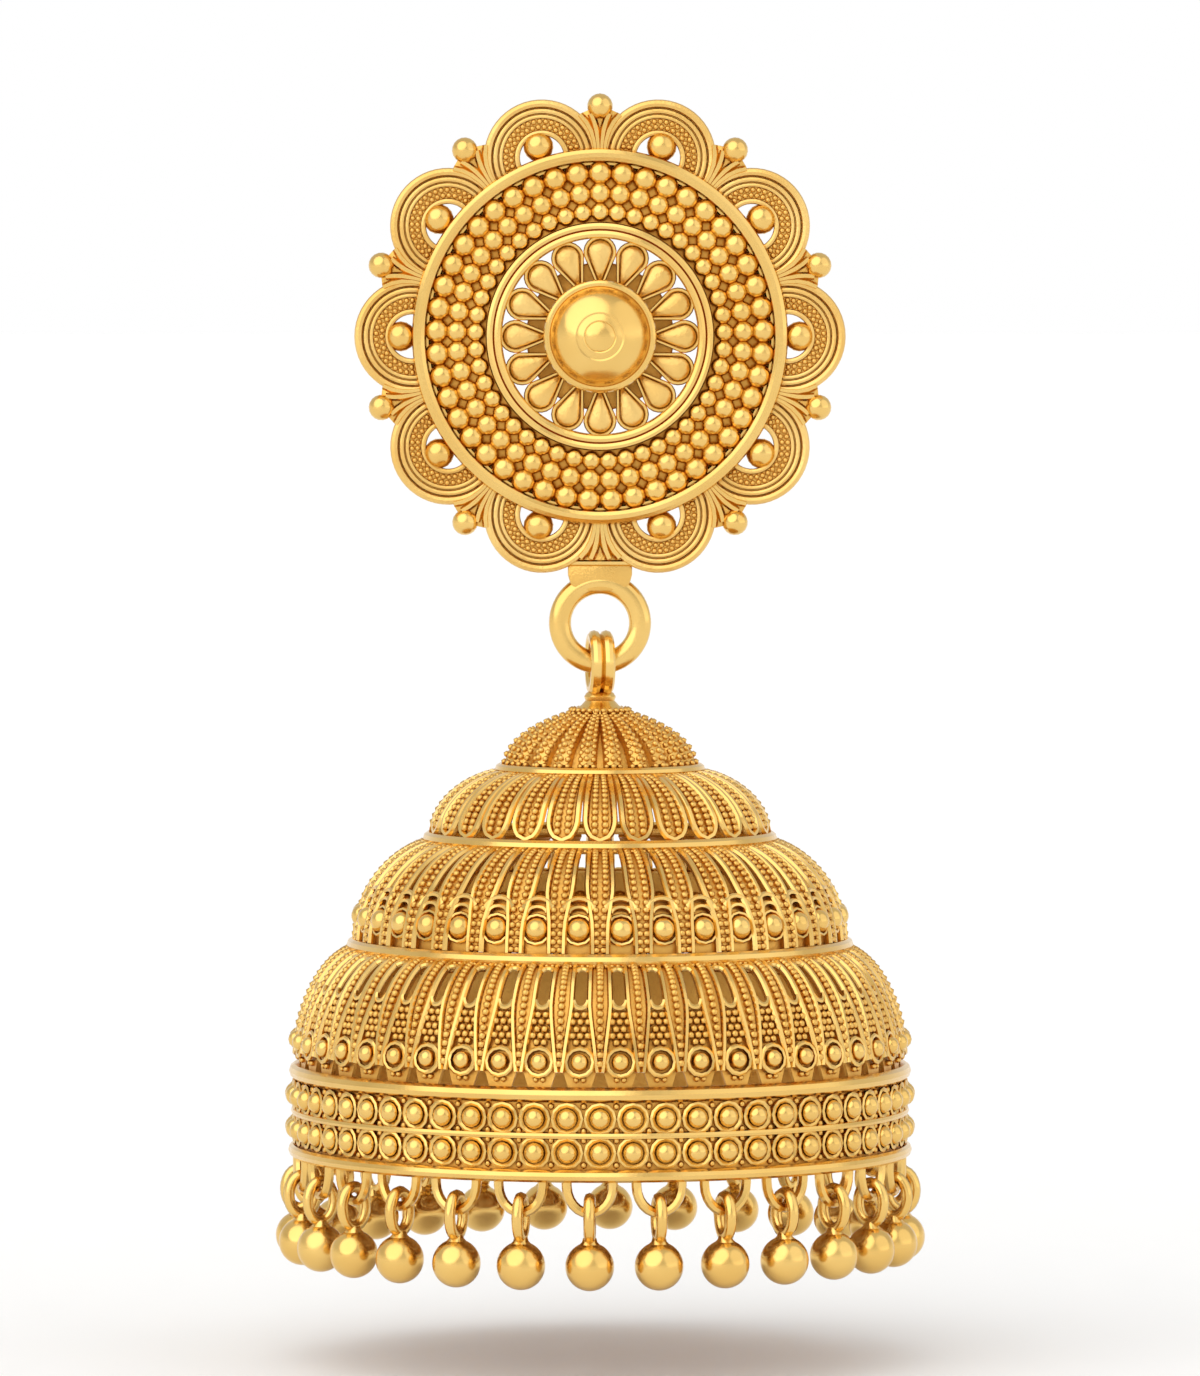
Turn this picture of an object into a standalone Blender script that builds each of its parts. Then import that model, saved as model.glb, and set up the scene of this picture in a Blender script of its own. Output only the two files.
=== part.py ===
"""A jhumka earring: a flower stud with an ear post, and a pierced bell that swings below it, with drops.

Metres, +Z up. The origin is the centre of the stud's back face, where the post enters the ear lobe.
The front of the earring faces -Y, and the post points along +Y.
"""

import math

import bmesh
import bpy
from mathutils import Matrix, Vector

# Clearances and overlaps
SEAT_GAP = 0.0003
LINK_GAP = 0.00015
JOIN_OVERLAP = 0.00012
EDGE_SETBACK = 0.00003
MERGE_DISTANCE = 0.000001
FLAT_ANGLE = math.radians(0.5)

# Disc of the stud, with its rows of beads between two plain wires
RIM_RADIUS = 0.0082
RIM_WIRE_RADIUS = 0.00026
PLATE_THICKNESS = 0.0009
DISC_THICKNESS = 0.0014
DISC_DOME = 0.0004
BEAD_ROWS = 3
BEAD_ROW_RELIEF = 0.0003
INNER_RING_RADIUS = 0.00475
INNER_WIRE_RADIUS = 0.00022
DISC_STEPS = 24

# Lobes round the disc. Each is centred on the rim, and neighbours just touch
LOBE_COUNT = 10
LOBE_ARC_DEG = 104
LOBE_STEPS = 5
LOBE_EDGE_WIDTH = 0.0005
LOBE_EDGE_HEIGHT = 0.0003
LOBE_EDGE_ARC_DEG = 92
WINDOW_RADIUS = 0.00125
WINDOW_STEPS = 3
NOTCH_BALL_RADIUS = 0.00058
LEAF_LENGTH = 0.00198
LEAF_WIDTH = 0.0009
LEAF_TIP_WIDTH = 0.00054

# Petal flower and boss
PETAL_COUNT = 16
PETAL_GAP = 0.00016
PETAL_RELIEF = 0.0004
PETAL_STEPS = 3
BOSS_RADIUS = 0.00249
BOSS_COLLAR = 0.0003
BOSS_HEIGHT = 0.0016
BOSS_STEPS = 16
DOME_STEPS = 3

# Ear post
POST_RADIUS = 0.0005
POST_LENGTH = 0.0105
POST_PAD_RADIUS = 0.0018
POST_PAD_THICKNESS = 0.0004
POST_TIP_ROUNDING = 0.0002
POST_STEPS = 12

# Hanger and its ring
HANGER_LENGTH = 0.00267
HANGER_TOP_WIDTH = 0.0030
HANGER_FOOT_WIDTH = 0.0024
RING_RADIUS = 0.00181
RING_WIRE_RADIUS = 0.0005
RING_STEPS = 16
RING_SIDES = 6

# Bail and collar of the bell
BAIL_THICKNESS = 0.0008
BAIL_WIDTH = 0.0011
BAIL_TURN_DEG = 7
BAIL_STEPS = 16
COLLAR_RADIUS = 0.00095
COLLAR_HEIGHT = 0.0006
COLLAR_STEPS = 12

# Bell
BELL_RADIUS = 0.01404
BELL_DEPTH = 0.02006
BELL_WALL = 0.00036
BELL_WIRE_RADIUS = 0.00025
CROWN_RADIUS = 0.0013
CROWN_GROOVE = 0.00018
RIB_SHARE = 0.58
FOOT_MARGIN_DEG = 6
TIER_SETBACK = 0.0004
BAND_WALL = 0.0008
BAND_RELIEF = 0.00035
BAND_BEAD_ROWS = 2

# One row for each tier, from the crown down. Radius and depth are shares of BELL_RADIUS and BELL_DEPTH at
# the wire below the tier. Fullness shapes its shoulder. Rib_rows are the places of its ribs' rows of points,
# in degrees down its quarter round.
TIER_COLUMNS = ("radius", "depth", "fullness", "ribs", "rib_rows")
TIERS = (
    (0.338, 0.134, 2.80, 22, (52, 90)),
    (0.570, 0.290, 1.50, 28, (52, 90)),
    (0.816, 0.530, 1.50, 36, (52, 90)),
    (1.000, 0.822, 1.35, 48, (63,)),
)

# Drops and the loops that carry them
DROP_COUNT = 28
DROP_FIRST_DEG = -1.9
LOOP_HALF_WIDTH = 0.00101
LOOP_LENGTH = 0.00146
LOOP_WIRE_RADIUS = 0.00024
LINK_HALF_WIDTH = 0.00062
LINK_HALF_HEIGHT = 0.00089
LINK_WIRE_RADIUS = 0.00026
BALL_RADIUS = 0.001075
BALL_RINGS = 5
LINK_STEPS = 10
LINK_SIDES = 5

# Facets shared by the small pieces
BALL_SEGMENTS = 10
SMALL_BALL_RINGS = 4
SHARP_DEG = 35

# Sizes that follow
LOBE_STEP = 2 * math.pi / LOBE_COUNT
RIM_OUTSIDE = RIM_RADIUS + RIM_WIRE_RADIUS
LOBE_RADIUS = RIM_OUTSIDE * math.sin(LOBE_STEP / 2)
NOTCH_REACH = RIM_OUTSIDE + LEAF_LENGTH
FLOWER_RADIUS = INNER_RING_RADIUS - INNER_WIRE_RADIUS
HANGING_Y = -PLATE_THICKNESS / 2
RING_TOP_Z = -(RIM_OUTSIDE + HANGER_LENGTH)
RING_CENTRE_Z = RING_TOP_Z - RING_RADIUS
PIVOT_Z = RING_CENTRE_Z - RING_RADIUS
BAIL_INSIDE = RING_WIRE_RADIUS + SEAT_GAP
BAIL_OUTSIDE = BAIL_INSIDE + BAIL_THICKNESS
COLLAR_TOP_Z = PIVOT_Z - BAIL_OUTSIDE + JOIN_OVERLAP
BELL_TOP_Z = COLLAR_TOP_Z - COLLAR_HEIGHT
BELL_FOOT_Z = BELL_TOP_Z - BELL_DEPTH
BAND_FOOT_Z = BELL_FOOT_Z - BELL_WIRE_RADIUS
DROP_PITCH_RADIUS = BELL_RADIUS - BAND_WALL / 2
LOOP_FOOT_Z = BAND_FOOT_Z - LOOP_LENGTH + LOOP_WIRE_RADIUS
LINK_TOP_Z = LOOP_FOOT_Z + LOOP_WIRE_RADIUS + LINK_GAP + LINK_WIRE_RADIUS
LINK_CENTRE_Z = LINK_TOP_Z - LINK_HALF_HEIGHT
LINK_FOOT_Z = LINK_CENTRE_Z - LINK_HALF_HEIGHT - LINK_WIRE_RADIUS
BALL_CENTRE_Z = LINK_FOOT_Z + JOIN_OVERLAP - BALL_RADIUS
FRONT = -math.pi / 2

# Colour and roughness of each finish
SATIN_GOLD = ((0.83, 0.55, 0.16, 1.0), 0.34)
POLISHED_GOLD = ((0.90, 0.63, 0.20, 1.0), 0.18)


def clear_scene():
    for item in list(bpy.data.objects):
        bpy.data.objects.remove(item)


def new_collection(name):
    collection = bpy.data.collections.new(name)
    bpy.context.scene.collection.children.link(collection)
    return collection


def metal(name, colour, roughness):
    material = bpy.data.materials.new(name)
    material.use_nodes = True
    shader = material.node_tree.nodes["Principled BSDF"]
    shader.inputs["Base Color"].default_value = colour
    shader.inputs["Metallic"].default_value = 1.0
    shader.inputs["Roughness"].default_value = roughness
    return material


def object_from(name, bm, collection):
    """A new object with what the bmesh holds."""
    mesh = bpy.data.meshes.new(name)
    bm.to_mesh(mesh)
    bm.free()
    item = bpy.data.objects.new(name, mesh)
    collection.objects.link(item)
    return item


def adopt(name, collection):
    """Names the primitive that was just added and moves it to the collection."""
    item = bpy.context.object
    item.name = name
    for holder in list(item.users_collection):
        holder.objects.unlink(item)
    collection.objects.link(item)
    return item


def turned(name, profile, steps, collection, closed=False):
    """A profile of (radius, height) pairs, down its outer side, turned round Z."""
    bm = bmesh.new()
    points = [bm.verts.new((radius, 0, height)) for radius, height in profile]
    for first, second in zip(points, points[1:]):
        bm.edges.new((first, second))
    if closed:
        bm.edges.new((points[-1], points[0]))
    item = object_from(name, bm, collection)
    screw = item.modifiers.new("turn", "SCREW")
    screw.steps = steps
    screw.render_steps = steps
    screw.use_merge_vertices = True
    screw.merge_threshold = MERGE_DISTANCE
    return item


def wire_ring(name, radius, wire_radius, steps, sides, collection):
    """A round ring of wire in the XY plane."""
    bpy.ops.mesh.primitive_torus_add(
        major_radius=radius,
        minor_radius=wire_radius,
        major_segments=steps,
        minor_segments=sides,
    )
    return adopt(name, collection)


def ball(name, radius, centre, segments, rings, collection):
    bpy.ops.mesh.primitive_uv_sphere_add(radius=radius, segments=segments, ring_count=rings, location=centre)
    return adopt(name, collection)


def polar(radius, angle):
    return Vector((radius * math.cos(angle), radius * math.sin(angle)))


def arc_points(centre, radius, middle, half_angle, steps):
    """Points of an arc round centre, anticlockwise, with its middle in the given direction."""
    start = middle - half_angle
    return [centre + polar(radius, start + 2 * half_angle * step / steps) for step in range(steps + 1)]


def as_mesh(item, placed, collection):
    """The curve object as a mesh object of its own name, with its caps welded."""
    bpy.context.view_layer.update()
    evaluated = item.evaluated_get(bpy.context.evaluated_depsgraph_get())
    mesh = bpy.data.meshes.new_from_object(evaluated)
    name = item.name
    bpy.data.objects.remove(item)
    bm = bmesh.new()
    bm.from_mesh(mesh)
    bpy.data.meshes.remove(mesh)
    bmesh.ops.remove_doubles(bm, verts=bm.verts, dist=MERGE_DISTANCE)
    bmesh.ops.dissolve_limit(bm, angle_limit=FLAT_ANGLE, verts=bm.verts, edges=bm.edges)
    bmesh.ops.transform(bm, matrix=placed, verts=bm.verts)
    return object_from(name, bm, collection)


def flat_outline(name, outlines, foot, thickness, collection):
    """A flat plate from the height foot up. The first outline goes round it, and the others are holes."""
    curve = bpy.data.curves.new(name, "CURVE")
    curve.dimensions = "2D"
    curve.fill_mode = "BOTH"
    curve.extrude = thickness / 2
    for outline in outlines:
        spline = curve.splines.new("POLY")
        spline.points.add(len(outline) - 1)
        spline.use_cyclic_u = True
        for point, (x, y) in zip(spline.points, outline):
            point.co = (x, y, 0, 1)
    item = bpy.data.objects.new(name, curve)
    collection.objects.link(item)
    return as_mesh(item, Matrix.Translation((0, 0, foot + thickness / 2)), collection)


def joined(name, items, collection):
    """Meshes that don't meet, as one object, for a single union."""
    bm = bmesh.new()
    for item in items:
        first = len(bm.verts)
        bm.from_mesh(item.data)
        bm.verts.ensure_lookup_table()
        bmesh.ops.transform(bm, matrix=item.matrix_basis, verts=bm.verts[first:])
        bpy.data.objects.remove(item)
    return object_from(name, bm, collection)


def fuse(target, tools):
    """Solders the tools to the target, which stays the only body that is kept."""
    for tool in tools:
        union = target.modifiers.new(tool.name, "BOOLEAN")
        union.operation = "UNION"
        union.solver = "EXACT"
        union.object = tool
        tool.hide_render = True
        tool.display_type = "WIRE"
    tidy = target.modifiers.new("tidy", "DECIMATE")
    tidy.decimate_type = "DISSOLVE"
    tidy.angle_limit = FLAT_ANGLE


def stand_up(item):
    """Turns a piece modelled flat, front up, so that its front faces -Y."""
    item.rotation_euler = (math.pi / 2, 0, 0)


def lobe_directions():
    """The lobes leave a notch at the top and one at the bottom."""
    return [math.pi / 2 + LOBE_STEP * (index + 0.5) for index in range(LOBE_COUNT)]


def notch_directions():
    """Every notch but the lowest, where the hanger is."""
    turns = [LOBE_STEP * index for index in range(LOBE_COUNT)]
    return [math.pi / 2 + turn for turn in turns if not math.isclose(turn, math.pi)]


def scalloped_outline():
    points = []
    for direction in lobe_directions():
        centre = polar(RIM_OUTSIDE, direction)
        points += arc_points(centre, LOBE_RADIUS, direction, math.radians(LOBE_ARC_DEG), LOBE_STEPS)
    return points


def window_outline(direction):
    """The arched gap of one lobe, between its edge and the rim wire."""
    centre = polar(RIM_OUTSIDE, direction)
    arc = arc_points(centre, WINDOW_RADIUS, direction, math.pi / 2, WINDOW_STEPS)
    spread = math.asin(WINDOW_RADIUS / RIM_OUTSIDE)
    return [*arc, polar(RIM_RADIUS, direction + spread), polar(RIM_RADIUS, direction - spread)]


def lobe_edges(helpers):
    """The raised edge of each lobe, just inside the plate's outline."""
    half_angle = math.radians(LOBE_EDGE_ARC_DEG)
    outside = LOBE_RADIUS * math.cos(half_angle / LOBE_STEPS) - EDGE_SETBACK
    edges = []
    for index, direction in enumerate(lobe_directions()):
        centre = polar(RIM_OUTSIDE, direction)
        outer = arc_points(centre, outside, direction, half_angle, LOBE_STEPS)
        inner = arc_points(centre, outside - LOBE_EDGE_WIDTH, direction, half_angle, LOBE_STEPS)
        corners = [*outer, *reversed(inner)]
        foot = PLATE_THICKNESS - JOIN_OVERLAP
        edges.append(flat_outline(f"edge_{index}", [corners], foot, LOBE_EDGE_HEIGHT + JOIN_OVERLAP, helpers))
    return joined("lobe_edges", edges, helpers)


def notch_balls(helpers):
    """A ball in each notch, half sunk in its leaf."""
    balls = []
    for index, direction in enumerate(notch_directions()):
        centre = (*polar(NOTCH_REACH, direction), PLATE_THICKNESS)
        item = ball(f"ball_{index}", NOTCH_BALL_RADIUS, centre, BALL_SEGMENTS, SMALL_BALL_RINGS, helpers)
        balls.append(item)
    return joined("notch_balls", balls, helpers)


def notch_leaves(helpers):
    """The narrow leaf that carries each notch ball."""
    leaves = []
    for index, direction in enumerate(notch_directions()):
        across = polar(0.5, direction + math.pi / 2)
        foot = polar(RIM_RADIUS, direction)
        tip = polar(NOTCH_REACH, direction)
        corners = [
            foot - across * LEAF_WIDTH,
            tip - across * LEAF_TIP_WIDTH,
            tip + across * LEAF_TIP_WIDTH,
            foot + across * LEAF_WIDTH,
        ]
        leaves.append(flat_outline(f"leaf_{index}", [corners], JOIN_OVERLAP, PLATE_THICKNESS, helpers))
    return joined("notch_leaves", leaves, helpers)


def disc_height(radius):
    """Height of the disc's face, which rises from the rim wire to the inner ring."""
    share = (RIM_RADIUS - radius) / (RIM_RADIUS - INNER_RING_RADIUS)
    return DISC_THICKNESS - DISC_DOME * (1 - math.sin(share * math.pi / 2))


def bead_disc(helpers):
    """The turned ring of the disc, with a ridge for each row of beads and a wire along each edge."""
    inside = FLOWER_RADIUS
    rows_inside = INNER_RING_RADIUS + INNER_WIRE_RADIUS
    rows_outside = RIM_RADIUS - RIM_WIRE_RADIUS
    row_width = (rows_outside - rows_inside) / BEAD_ROWS
    profile = [
        (inside, DISC_THICKNESS + INNER_WIRE_RADIUS),
        (rows_inside, DISC_THICKNESS + INNER_WIRE_RADIUS),
    ]
    for row in range(BEAD_ROWS):
        edge = rows_inside + row_width * row
        middle = edge + row_width / 2
        profile.append((edge, disc_height(edge) - BEAD_ROW_RELIEF))
        profile.append((middle, disc_height(middle)))
    profile += [
        (rows_outside, disc_height(rows_outside) - BEAD_ROW_RELIEF),
        (rows_outside, DISC_THICKNESS),
        (RIM_OUTSIDE, DISC_THICKNESS - RIM_WIRE_RADIUS),
        (RIM_OUTSIDE, PLATE_THICKNESS / 2),
        (inside, PLATE_THICKNESS / 2),
    ]
    return turned("bead_disc", profile, DISC_STEPS, helpers, closed=True)


def petals(helpers):
    """Raised petals, pointed at the boss and round at the inner ring, where they reach under its wire."""
    spread = math.sin(math.pi / PETAL_COUNT)
    half_width = (FLOWER_RADIUS * spread - PETAL_GAP / 2) / (1 + spread)
    root_radius = BOSS_RADIUS - BOSS_COLLAR
    foot = PLATE_THICKNESS - JOIN_OVERLAP
    pieces = []
    for index in range(PETAL_COUNT):
        direction = 2 * math.pi * index / PETAL_COUNT
        side = polar(root_radius * spread / 2, direction + math.pi / 2)
        root = polar(root_radius, direction)
        centre = polar(FLOWER_RADIUS - half_width + JOIN_OVERLAP, direction)
        tip = arc_points(centre, half_width, direction, math.pi / 2, PETAL_STEPS)
        corners = [root - side, *tip, root + side]
        pieces.append(flat_outline(f"petal_{index}", [corners], foot, PETAL_RELIEF + JOIN_OVERLAP, helpers))
    return joined("petals", pieces, helpers)


def boss(helpers):
    """The polished dome on its collar, over the petals' roots."""
    foot = PLATE_THICKNESS / 3
    collar_top = PLATE_THICKNESS + PETAL_RELIEF + BOSS_COLLAR
    dome_radius = BOSS_RADIUS - BOSS_COLLAR
    profile = [(0, collar_top + BOSS_HEIGHT)]
    for step in range(1, DOME_STEPS + 1):
        angle = step * math.pi / 2 / DOME_STEPS
        profile.append((dome_radius * math.sin(angle), collar_top + BOSS_HEIGHT * math.cos(angle)))
    profile += [(BOSS_RADIUS, collar_top), (BOSS_RADIUS, foot), (0, foot)]
    return turned("boss", profile, BOSS_STEPS, helpers)


def hanger(helpers):
    """The tapered tab under the stud, down to the middle of its ring's top."""
    corners = [
        (HANGER_TOP_WIDTH / 2, -RIM_OUTSIDE),
        (-HANGER_TOP_WIDTH / 2, -RIM_OUTSIDE),
        (-HANGER_FOOT_WIDTH / 2, RING_TOP_Z),
        (HANGER_FOOT_WIDTH / 2, RING_TOP_Z),
    ]
    return flat_outline("hanger", [corners], JOIN_OVERLAP / 2, PLATE_THICKNESS - JOIN_OVERLAP, helpers)


def hanging_ring(helpers):
    ring = wire_ring("hanging_ring", RING_RADIUS, RING_WIRE_RADIUS, RING_STEPS, RING_SIDES, helpers)
    ring.location = (0, HANGING_Y, RING_CENTRE_Z)
    return ring


def stud(parts, helpers, material):
    """The scalloped plate with all that is soldered to it, down to the hanging ring."""
    windows = [window_outline(direction) for direction in lobe_directions()]
    plate = flat_outline("stud", [scalloped_outline(), *windows], 0, PLATE_THICKNESS, parts)
    tools = [
        bead_disc(helpers),
        notch_leaves(helpers),
        hanger(helpers),
        lobe_edges(helpers),
        notch_balls(helpers),
        petals(helpers),
        boss(helpers),
        hanging_ring(helpers),
    ]
    for item in (plate, *tools):
        stand_up(item)
    fuse(plate, tools)
    plate.data.materials.append(material)


def ear_post(parts, material):
    """A plain round post on a small pad behind the stud."""
    pad_back = -SEAT_GAP - POST_PAD_THICKNESS
    profile = [
        (0, -SEAT_GAP),
        (POST_PAD_RADIUS, -SEAT_GAP),
        (POST_PAD_RADIUS, pad_back),
        (POST_RADIUS, pad_back),
        (POST_RADIUS, -POST_LENGTH + POST_TIP_ROUNDING),
        (POST_RADIUS - POST_TIP_ROUNDING, -POST_LENGTH),
        (0, -POST_LENGTH),
    ]
    post = turned("ear_post", profile, POST_STEPS, parts)
    stand_up(post)
    post.data.materials.append(material)


def tier_places():
    """The tiers' values, each with the centres of the wires above and below it as (radius, height)."""
    tiers = []
    above = (CROWN_RADIUS, BELL_TOP_Z)
    for row in TIERS:
        tier = dict(zip(TIER_COLUMNS, row))
        radius = BELL_RADIUS * tier["radius"]
        height = BELL_TOP_Z - BELL_DEPTH * tier["depth"]
        tier["above"] = above
        tier["foot"] = (radius - TIER_SETBACK, height + BELL_WIRE_RADIUS)
        tier["below"] = (radius, height)
        above = tier["below"]
        tiers.append(tier)
    return tiers


def tier_point(tier, angle_deg):
    """The middle of a tier's wall, at an angle down its quarter round."""
    out = math.sin(math.radians(angle_deg)) ** tier["fullness"]
    down = 1 - math.cos(math.radians(angle_deg))
    top_radius, top_z = tier["above"]
    foot_radius, foot_z = tier["foot"]
    return (top_radius + (foot_radius - top_radius) * out, top_z + (foot_z - top_z) * down)


def circle(bm, radii, height, angles):
    """A closed loop of edges, with a point at each angle. It takes the radii in turn."""
    verts = []
    for index, angle in enumerate(angles):
        verts.append(bm.verts.new((*polar(radii[index % len(radii)], angle), height)))
    return [bm.edges.new(pair) for pair in zip(verts, verts[1:] + verts[:1])]


def rib_angles(ribs):
    """The two edges of each rib."""
    half = RIB_SHARE * math.pi / ribs
    return [2 * math.pi * rib / ribs + side for rib in range(ribs) for side in (-half, half)]


def even_angles(count):
    return [2 * math.pi * index / count for index in range(count)]


def drop_angles():
    first = FRONT + math.radians(DROP_FIRST_DEG)
    return [first + turn for turn in even_angles(DROP_COUNT)]


def band_angles():
    """The corners of the band, which has a flat for each drop."""
    return [angle - math.pi / DROP_COUNT for angle in drop_angles()]


def is_slot(face, ribs):
    centre = face.calc_center_median()
    place = math.atan2(centre.y, centre.x) * ribs / (2 * math.pi) % 1
    return RIB_SHARE / 2 < place < 1 - RIB_SHARE / 2


def rib_points(tier):
    """The middle of a tier's ribs, in rows below their first point."""
    return [tier_point(tier, down) for down in tier["rib_rows"]]


def crown_loops(tier):
    """Radii, height and angles of the crown's loops. Its grooves are pressed in between the ribs."""
    loops = []
    for radius in (CROWN_RADIUS / 2, CROWN_RADIUS):
        loops.append(((radius,), BELL_TOP_Z, even_angles(COLLAR_STEPS)))
    for radius, height in rib_points(tier):
        loops.append(((radius, radius - CROWN_GROOVE), height, even_angles(2 * tier["ribs"])))
    return loops


def tier_loops(tier):
    """Radii, height and angles of a pierced tier's loops. The first is the wire above, which stands proud."""
    radius, height = tier["above"]
    angles = rib_angles(tier["ribs"])
    ribs = [((radius,), height, angles) for radius, height in rib_points(tier)]
    return [((radius + BELL_WIRE_RADIUS - BELL_WALL / 2,), height, angles), *ribs]


def bell_wall(helpers):
    """The crown and the pierced tiers, one wall with a step at each wire. It ends inside the last wire."""
    bm = bmesh.new()
    tiers = tier_places()
    rows = [(loop, 0) for loop in crown_loops(tiers[0])]
    for tier in tiers[1:]:
        first, *ribbed = tier_loops(tier)
        rows += [(first, 0), *((loop, tier["ribs"]) for loop in ribbed)]
    last = tiers[-1]
    foot = (last["foot"][0], last["below"][1])
    for radius, height in (tier_point(last, last["rib_rows"][-1] + FOOT_MARGIN_DEG), foot):
        rows.append((((radius,), height, band_angles()), 0))
    slots = []
    above = []
    for loop, ribs in rows:
        edges = circle(bm, *loop)
        if above:
            faces = bmesh.ops.bridge_loops(bm, edges=above + edges)["faces"]
            slots += [face for face in faces if ribs and is_slot(face, ribs)]
        above = edges
    bmesh.ops.delete(bm, geom=slots, context="FACES")
    bmesh.ops.recalc_face_normals(bm, faces=bm.faces)
    wall = object_from("bell_wall", bm, helpers)
    solid = wall.modifiers.new("wall", "SOLIDIFY")
    solid.thickness = BELL_WALL
    solid.offset = 0
    return wall


def beaded_band(parts):
    """The last wire and the band, with a ridge for each row of beads and a wire at its foot."""
    wire_radius, wire_z = tier_places()[-1]["below"]
    row_height = (wire_z - BELL_FOOT_Z - 2 * BELL_WIRE_RADIUS) / BAND_BEAD_ROWS
    profile = [
        (wire_radius, wire_z + BELL_WIRE_RADIUS),
        (wire_radius + BELL_WIRE_RADIUS, wire_z),
        (wire_radius, wire_z - BELL_WIRE_RADIUS),
    ]
    for row in range(BAND_BEAD_ROWS):
        middle = wire_z - BELL_WIRE_RADIUS - row_height * (row + 0.5)
        profile.append((BELL_RADIUS + BAND_RELIEF, middle))
        profile.append((BELL_RADIUS, middle - row_height / 2))
    profile += [
        (BELL_RADIUS + BELL_WIRE_RADIUS, BELL_FOOT_Z),
        (BELL_RADIUS, BAND_FOOT_Z),
        (BELL_RADIUS - BAND_WALL, BAND_FOOT_Z),
        (BELL_RADIUS - BAND_WALL, wire_z + BELL_WIRE_RADIUS),
    ]
    return turned("bell", profile, DROP_COUNT, parts, closed=True)


def bail(helpers):
    """The flat loop that hangs on the stud's ring. Its hole is centred on the pivot."""
    half_width = BAIL_WIDTH / 2
    profile = [
        (BAIL_OUTSIDE, half_width),
        (BAIL_OUTSIDE, -half_width),
        (BAIL_INSIDE, -half_width),
        (BAIL_INSIDE, half_width),
    ]
    loop = turned("bail", profile, BAIL_STEPS, helpers, closed=True)
    loop.rotation_euler = (0, math.pi / 2, math.radians(BAIL_TURN_DEG))
    loop.location.z = PIVOT_Z
    return loop


def collar(helpers):
    """The collar on the crown, which the bail is soldered to."""
    profile = [
        (0, COLLAR_TOP_Z),
        (COLLAR_RADIUS, COLLAR_TOP_Z),
        (COLLAR_RADIUS, BELL_TOP_Z - BELL_WALL),
        (0, BELL_TOP_Z - BELL_WALL),
    ]
    return turned("collar", profile, COLLAR_STEPS, helpers)


def drop_places():
    """What turns and moves each drop or loop, modelled on the bell's axis, to its place on the rim."""
    outward = Matrix.Translation((0, -DROP_PITCH_RADIUS, 0))
    return [Matrix.Rotation(angle - FRONT, 4, "Z") @ outward for angle in drop_angles()]


def oval_ring(name, half_width, half_height, wire_radius, helpers):
    """A ring of round wire in the XY plane, its long way along X, with a corner at each end of it."""
    ring = wire_ring(name, 1, wire_radius, LINK_STEPS, LINK_SIDES, helpers)
    for vert in ring.data.vertices:
        along = Vector((vert.co.x, vert.co.y, 0)).normalized()
        vert.co += Vector((along.x * half_height, along.y * half_width, 0)) - along
    return ring


def rim_loops(helpers):
    """The wire loops under the band. Their upper halves are buried in it."""
    half_height = BAND_FOOT_Z - LOOP_FOOT_Z
    upright = Matrix.Rotation(math.pi / 2, 4, "Z") @ Matrix.Rotation(math.pi / 2, 4, "Y")
    loops = []
    for place in drop_places():
        loop = oval_ring("rim_loop", LOOP_HALF_WIDTH, half_height, LOOP_WIRE_RADIUS, helpers)
        loop.matrix_basis = place @ Matrix.Translation((0, 0, BAND_FOOT_Z)) @ upright
        loops.append(loop)
    return joined("rim_loops", loops, helpers)


def bell(parts, helpers, material):
    """Everything that is soldered into the bell: bail, collar, tiers, wires, band and rim loops."""
    band = beaded_band(parts)
    tools = [bell_wall(helpers), collar(helpers), bail(helpers), rim_loops(helpers)]
    for item in (band, *tools):
        item.location.y = HANGING_Y
    band.rotation_euler.z = band_angles()[0]
    fuse(band, tools)
    band.data.materials.append(material)
    return band


def drop_mesh(helpers):
    """A ball under an oval link that is upright and edge-on to the front, fused, on the bell's axis."""
    link = oval_ring("link", LINK_HALF_WIDTH, LINK_HALF_HEIGHT, LINK_WIRE_RADIUS, helpers)
    link.rotation_euler = (0, math.pi / 2, 0)
    link.location.z = LINK_CENTRE_Z
    drop = ball("drop", BALL_RADIUS, (0, 0, BALL_CENTRE_Z), BALL_SEGMENTS, BALL_RINGS, helpers)
    fuse(drop, [link])
    return as_mesh(drop, Matrix.Translation((0, 0, BALL_CENTRE_Z)), helpers)


def drops(parts, helpers, material):
    """The fringe of drops, one on each rim loop."""
    pattern = drop_mesh(helpers)
    pattern.data.materials.append(material)
    hung = Matrix.Translation((0, HANGING_Y, 0))
    fringe = []
    for number, place in enumerate(drop_places(), 1):
        item = bpy.data.objects.new(f"drop_{number:02d}", pattern.data)
        item.matrix_world = hung @ place
        parts.objects.link(item)
        fringe.append(item)
    bpy.data.objects.remove(pattern)
    return fringe


def hang(items, helpers):
    """Parents what swings to an empty on the axis of the swing, with each item where it is."""
    pivot = bpy.data.objects.new("bell_swing", None)
    pivot.location = (0, HANGING_Y, PIVOT_Z)
    helpers.objects.link(pivot)
    for item in items:
        item.parent = pivot
        item.location -= pivot.location


def shade(parts):
    for item in parts.objects:
        item.data.shade_smooth()
        item.data.set_sharp_from_angle(angle=math.radians(SHARP_DEG))


def main():
    clear_scene()
    parts = new_collection("jhumka_earring")
    helpers = new_collection("helpers")
    gold = metal("granulated_gold", *SATIN_GOLD)
    polished = metal("polished_gold", *POLISHED_GOLD)
    stud(parts, helpers, gold)
    ear_post(parts, polished)
    hanging_bell = bell(parts, helpers, gold)
    fringe = drops(parts, helpers, polished)
    hang([hanging_bell, *fringe], helpers)
    shade(parts)


main()
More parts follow.
